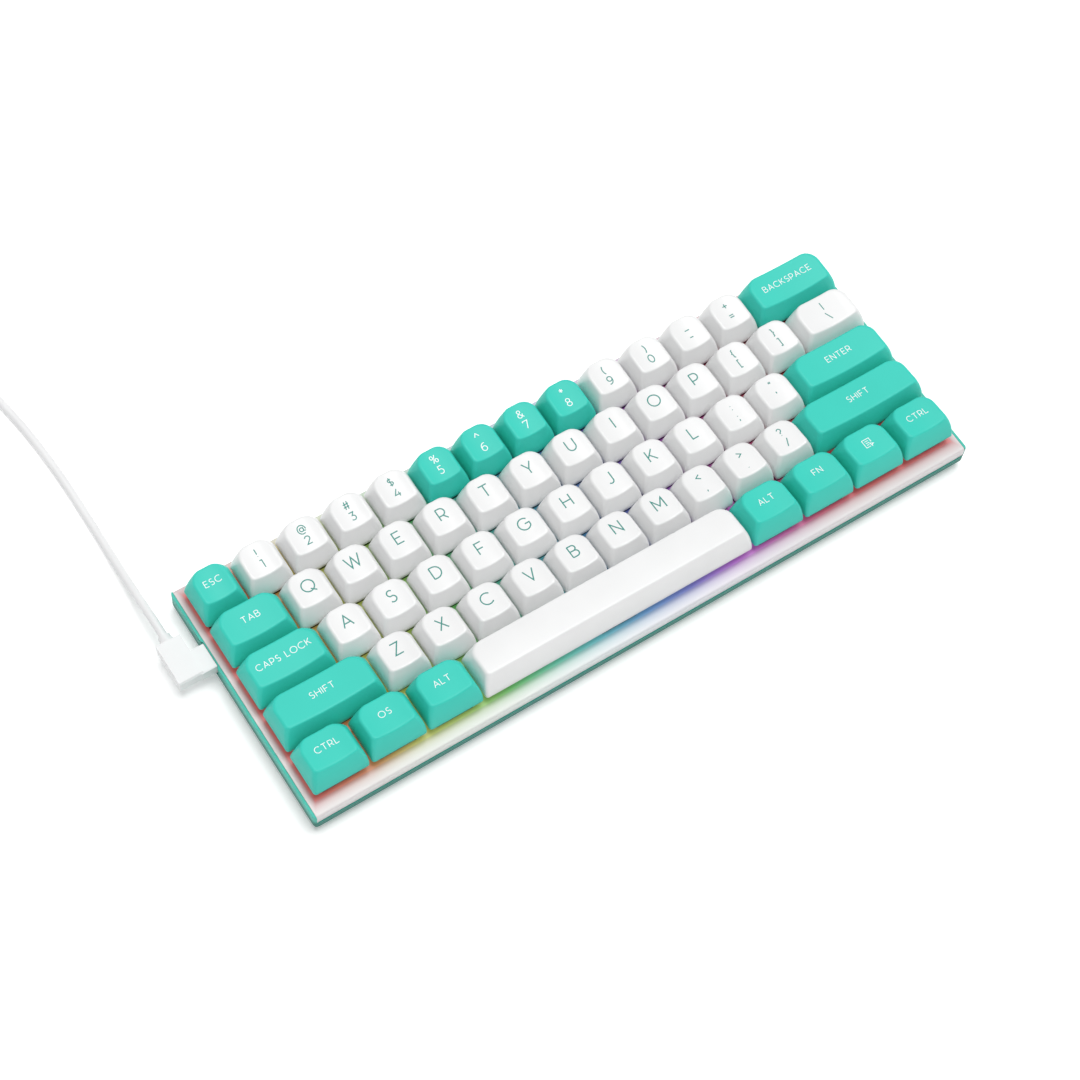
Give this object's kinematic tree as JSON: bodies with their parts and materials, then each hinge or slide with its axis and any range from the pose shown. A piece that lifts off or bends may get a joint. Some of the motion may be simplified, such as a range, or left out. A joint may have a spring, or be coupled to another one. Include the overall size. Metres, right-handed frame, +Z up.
{
  "type": "mechanical keyboard",
  "caption": "Compact backlit mechanical keyboard in teal and white with separate sprung keys, a floating-key cover plate and a white side-exit lead.",
  "frame": {"origin": "centre of the keyboard's footprint at the bottom of its rubber feet, without the lead", "axes": "+X to the right along the rows of keys, +Y from the space bar towards the number row, +Z up; -Y is the front"},
  "size_m": [0.3663, 0.2761, 0.0268],
  "materials": {
    "case_plastic": "fine satin",
    "cover_white": "satin",
    "keycap_white": "satin",
    "keycap_teal": "satin",
    "switch_black": "moulded",
    "switch_clear": "milky",
    "contact_brass": "stamped",
    "spring_steel": "drawn wire",
    "board_laminate": "solder mask",
    "chip_plastic": "moulded",
    "led_lens": "clear resin",
    "socket_steel": "plated",
    "screw_steel": "black oxide",
    "foot_rubber": "matt",
    "lead_white": "soft PVC"
  },
  "bodies": {
    "case": {"bottom_case": "case_plastic", "top_cover": "cover_white", "circuit_board": "board_laminate", "controller_chip": "chip_plastic", "switch_leds": "led_lens", "switch_lower_housings": "switch_black", "switch_upper_housings": "switch_clear", "switch_contacts": "contact_brass", "switch_springs": "spring_steel", "stabilizer_housings": "switch_black", "stabilizer_wires": "spring_steel", "usb_socket": "socket_steel", "case_screws": "screw_steel", "rubber_feet": "foot_rubber", "lead_plug": "lead_white", "lead_cable": "lead_white", "lead_coil": "lead_white", "lead_end_plug": "lead_white"},
    "number_and_symbol_keys": {"number_and_symbol_keys": "keycap_white"},
    "key_q": {"key_q": "keycap_white"},
    "key_w": {"key_w": "keycap_white"},
    "key_e": {"key_e": "keycap_white"},
    "key_r": {"key_r": "keycap_white"},
    "key_t": {"key_t": "keycap_white"},
    "key_y": {"key_y": "keycap_white"},
    "key_u": {"key_u": "keycap_white"},
    "key_i": {"key_i": "keycap_white"},
    "key_o": {"key_o": "keycap_white"},
    "key_p": {"key_p": "keycap_white"},
    "key_a": {"key_a": "keycap_white"},
    "key_s": {"key_s": "keycap_white"},
    "key_d": {"key_d": "keycap_white"},
    "key_f": {"key_f": "keycap_white"},
    "key_g": {"key_g": "keycap_white"},
    "key_h": {"key_h": "keycap_white"},
    "key_j": {"key_j": "keycap_white"},
    "key_k": {"key_k": "keycap_white"},
    "key_l": {"key_l": "keycap_white"},
    "key_z": {"key_z": "keycap_white"},
    "key_x": {"key_x": "keycap_white"},
    "key_c": {"key_c": "keycap_white"},
    "key_v": {"key_v": "keycap_white"},
    "key_b": {"key_b": "keycap_white"},
    "key_n": {"key_n": "keycap_white"},
    "key_m": {"key_m": "keycap_white"},
    "key_esc": {"key_esc": "keycap_teal"},
    "key_backspace": {"key_backspace": "keycap_teal"},
    "key_tab": {"key_tab": "keycap_teal"},
    "key_caps_lock": {"key_caps_lock": "keycap_teal"},
    "key_enter": {"key_enter": "keycap_teal"},
    "key_left_shift": {"key_left_shift": "keycap_teal"},
    "key_right_shift": {"key_right_shift": "keycap_teal"},
    "key_left_ctrl": {"key_left_ctrl": "keycap_teal"},
    "key_system": {"key_system": "keycap_teal"},
    "key_left_alt": {"key_left_alt": "keycap_teal"},
    "key_space": {"key_space": "keycap_white"},
    "key_right_alt": {"key_right_alt": "keycap_teal"},
    "key_fn": {"key_fn": "keycap_teal"},
    "key_menu": {"key_menu": "keycap_teal"},
    "key_right_ctrl": {"key_right_ctrl": "keycap_teal"}
  },
  "joints": [
    {"name": "press_number_and_symbol_keys", "type": "slide", "parent": "case", "child": "number_and_symbol_keys", "axis": [0, 0, -1], "range_m": [0, 0.004], "stiffness_N_per_m": 1600, "springref_m": -0.0044, "deforming": ["switch_springs"]},
    {"name": "press_q", "type": "slide", "parent": "case", "child": "key_q", "axis": [0, 0, -1], "range_m": [0, 0.004], "stiffness_N_per_m": 80, "springref_m": -0.0044, "deforming": ["switch_springs"]},
    {"name": "press_w", "type": "slide", "parent": "case", "child": "key_w", "axis": [0, 0, -1], "range_m": [0, 0.004], "stiffness_N_per_m": 80, "springref_m": -0.0044, "deforming": ["switch_springs"]},
    {"name": "press_e", "type": "slide", "parent": "case", "child": "key_e", "axis": [0, 0, -1], "range_m": [0, 0.004], "stiffness_N_per_m": 80, "springref_m": -0.0044, "deforming": ["switch_springs"]},
    {"name": "press_r", "type": "slide", "parent": "case", "child": "key_r", "axis": [0, 0, -1], "range_m": [0, 0.004], "stiffness_N_per_m": 80, "springref_m": -0.0044, "deforming": ["switch_springs"]},
    {"name": "press_t", "type": "slide", "parent": "case", "child": "key_t", "axis": [0, 0, -1], "range_m": [0, 0.004], "stiffness_N_per_m": 80, "springref_m": -0.0044, "deforming": ["switch_springs"]},
    {"name": "press_y", "type": "slide", "parent": "case", "child": "key_y", "axis": [0, 0, -1], "range_m": [0, 0.004], "stiffness_N_per_m": 80, "springref_m": -0.0044, "deforming": ["switch_springs"]},
    {"name": "press_u", "type": "slide", "parent": "case", "child": "key_u", "axis": [0, 0, -1], "range_m": [0, 0.004], "stiffness_N_per_m": 80, "springref_m": -0.0044, "deforming": ["switch_springs"]},
    {"name": "press_i", "type": "slide", "parent": "case", "child": "key_i", "axis": [0, 0, -1], "range_m": [0, 0.004], "stiffness_N_per_m": 80, "springref_m": -0.0044, "deforming": ["switch_springs"]},
    {"name": "press_o", "type": "slide", "parent": "case", "child": "key_o", "axis": [0, 0, -1], "range_m": [0, 0.004], "stiffness_N_per_m": 80, "springref_m": -0.0044, "deforming": ["switch_springs"]},
    {"name": "press_p", "type": "slide", "parent": "case", "child": "key_p", "axis": [0, 0, -1], "range_m": [0, 0.004], "stiffness_N_per_m": 80, "springref_m": -0.0044, "deforming": ["switch_springs"]},
    {"name": "press_a", "type": "slide", "parent": "case", "child": "key_a", "axis": [0, 0, -1], "range_m": [0, 0.004], "stiffness_N_per_m": 80, "springref_m": -0.0044, "deforming": ["switch_springs"]},
    {"name": "press_s", "type": "slide", "parent": "case", "child": "key_s", "axis": [0, 0, -1], "range_m": [0, 0.004], "stiffness_N_per_m": 80, "springref_m": -0.0044, "deforming": ["switch_springs"]},
    {"name": "press_d", "type": "slide", "parent": "case", "child": "key_d", "axis": [0, 0, -1], "range_m": [0, 0.004], "stiffness_N_per_m": 80, "springref_m": -0.0044, "deforming": ["switch_springs"]},
    {"name": "press_f", "type": "slide", "parent": "case", "child": "key_f", "axis": [0, 0, -1], "range_m": [0, 0.004], "stiffness_N_per_m": 80, "springref_m": -0.0044, "deforming": ["switch_springs"]},
    {"name": "press_g", "type": "slide", "parent": "case", "child": "key_g", "axis": [0, 0, -1], "range_m": [0, 0.004], "stiffness_N_per_m": 80, "springref_m": -0.0044, "deforming": ["switch_springs"]},
    {"name": "press_h", "type": "slide", "parent": "case", "child": "key_h", "axis": [0, 0, -1], "range_m": [0, 0.004], "stiffness_N_per_m": 80, "springref_m": -0.0044, "deforming": ["switch_springs"]},
    {"name": "press_j", "type": "slide", "parent": "case", "child": "key_j", "axis": [0, 0, -1], "range_m": [0, 0.004], "stiffness_N_per_m": 80, "springref_m": -0.0044, "deforming": ["switch_springs"]},
    {"name": "press_k", "type": "slide", "parent": "case", "child": "key_k", "axis": [0, 0, -1], "range_m": [0, 0.004], "stiffness_N_per_m": 80, "springref_m": -0.0044, "deforming": ["switch_springs"]},
    {"name": "press_l", "type": "slide", "parent": "case", "child": "key_l", "axis": [0, 0, -1], "range_m": [0, 0.004], "stiffness_N_per_m": 80, "springref_m": -0.0044, "deforming": ["switch_springs"]},
    {"name": "press_z", "type": "slide", "parent": "case", "child": "key_z", "axis": [0, 0, -1], "range_m": [0, 0.004], "stiffness_N_per_m": 80, "springref_m": -0.0044, "deforming": ["switch_springs"]},
    {"name": "press_x", "type": "slide", "parent": "case", "child": "key_x", "axis": [0, 0, -1], "range_m": [0, 0.004], "stiffness_N_per_m": 80, "springref_m": -0.0044, "deforming": ["switch_springs"]},
    {"name": "press_c", "type": "slide", "parent": "case", "child": "key_c", "axis": [0, 0, -1], "range_m": [0, 0.004], "stiffness_N_per_m": 80, "springref_m": -0.0044, "deforming": ["switch_springs"]},
    {"name": "press_v", "type": "slide", "parent": "case", "child": "key_v", "axis": [0, 0, -1], "range_m": [0, 0.004], "stiffness_N_per_m": 80, "springref_m": -0.0044, "deforming": ["switch_springs"]},
    {"name": "press_b", "type": "slide", "parent": "case", "child": "key_b", "axis": [0, 0, -1], "range_m": [0, 0.004], "stiffness_N_per_m": 80, "springref_m": -0.0044, "deforming": ["switch_springs"]},
    {"name": "press_n", "type": "slide", "parent": "case", "child": "key_n", "axis": [0, 0, -1], "range_m": [0, 0.004], "stiffness_N_per_m": 80, "springref_m": -0.0044, "deforming": ["switch_springs"]},
    {"name": "press_m", "type": "slide", "parent": "case", "child": "key_m", "axis": [0, 0, -1], "range_m": [0, 0.004], "stiffness_N_per_m": 80, "springref_m": -0.0044, "deforming": ["switch_springs"]},
    {"name": "press_esc", "type": "slide", "parent": "case", "child": "key_esc", "axis": [0, 0, -1], "range_m": [0, 0.004], "stiffness_N_per_m": 80, "springref_m": -0.0044, "deforming": ["switch_springs"]},
    {"name": "press_backspace", "type": "slide", "parent": "case", "child": "key_backspace", "axis": [0, 0, -1], "range_m": [0, 0.004], "stiffness_N_per_m": 80, "springref_m": -0.0044, "deforming": ["switch_springs"]},
    {"name": "press_tab", "type": "slide", "parent": "case", "child": "key_tab", "axis": [0, 0, -1], "range_m": [0, 0.004], "stiffness_N_per_m": 80, "springref_m": -0.0044, "deforming": ["switch_springs"]},
    {"name": "press_caps_lock", "type": "slide", "parent": "case", "child": "key_caps_lock", "axis": [0, 0, -1], "range_m": [0, 0.004], "stiffness_N_per_m": 80, "springref_m": -0.0044, "deforming": ["switch_springs"]},
    {"name": "press_enter", "type": "slide", "parent": "case", "child": "key_enter", "axis": [0, 0, -1], "range_m": [0, 0.004], "stiffness_N_per_m": 80, "springref_m": -0.0044, "deforming": ["switch_springs"]},
    {"name": "press_left_shift", "type": "slide", "parent": "case", "child": "key_left_shift", "axis": [0, 0, -1], "range_m": [0, 0.004], "stiffness_N_per_m": 80, "springref_m": -0.0044, "deforming": ["switch_springs"]},
    {"name": "press_right_shift", "type": "slide", "parent": "case", "child": "key_right_shift", "axis": [0, 0, -1], "range_m": [0, 0.004], "stiffness_N_per_m": 80, "springref_m": -0.0044, "deforming": ["switch_springs"]},
    {"name": "press_left_ctrl", "type": "slide", "parent": "case", "child": "key_left_ctrl", "axis": [0, 0, -1], "range_m": [0, 0.004], "stiffness_N_per_m": 80, "springref_m": -0.0044, "deforming": ["switch_springs"]},
    {"name": "press_system", "type": "slide", "parent": "case", "child": "key_system", "axis": [0, 0, -1], "range_m": [0, 0.004], "stiffness_N_per_m": 80, "springref_m": -0.0044, "deforming": ["switch_springs"]},
    {"name": "press_left_alt", "type": "slide", "parent": "case", "child": "key_left_alt", "axis": [0, 0, -1], "range_m": [0, 0.004], "stiffness_N_per_m": 80, "springref_m": -0.0044, "deforming": ["switch_springs"]},
    {"name": "press_space", "type": "slide", "parent": "case", "child": "key_space", "axis": [0, 0, -1], "range_m": [0, 0.004], "stiffness_N_per_m": 80, "springref_m": -0.0044, "deforming": ["switch_springs"]},
    {"name": "press_right_alt", "type": "slide", "parent": "case", "child": "key_right_alt", "axis": [0, 0, -1], "range_m": [0, 0.004], "stiffness_N_per_m": 80, "springref_m": -0.0044, "deforming": ["switch_springs"]},
    {"name": "press_fn", "type": "slide", "parent": "case", "child": "key_fn", "axis": [0, 0, -1], "range_m": [0, 0.004], "stiffness_N_per_m": 80, "springref_m": -0.0044, "deforming": ["switch_springs"]},
    {"name": "press_menu", "type": "slide", "parent": "case", "child": "key_menu", "axis": [0, 0, -1], "range_m": [0, 0.004], "stiffness_N_per_m": 80, "springref_m": -0.0044, "deforming": ["switch_springs"]},
    {"name": "press_right_ctrl", "type": "slide", "parent": "case", "child": "key_right_ctrl", "axis": [0, 0, -1], "range_m": [0, 0.004], "stiffness_N_per_m": 80, "springref_m": -0.0044, "deforming": ["switch_springs"]}
  ]
}
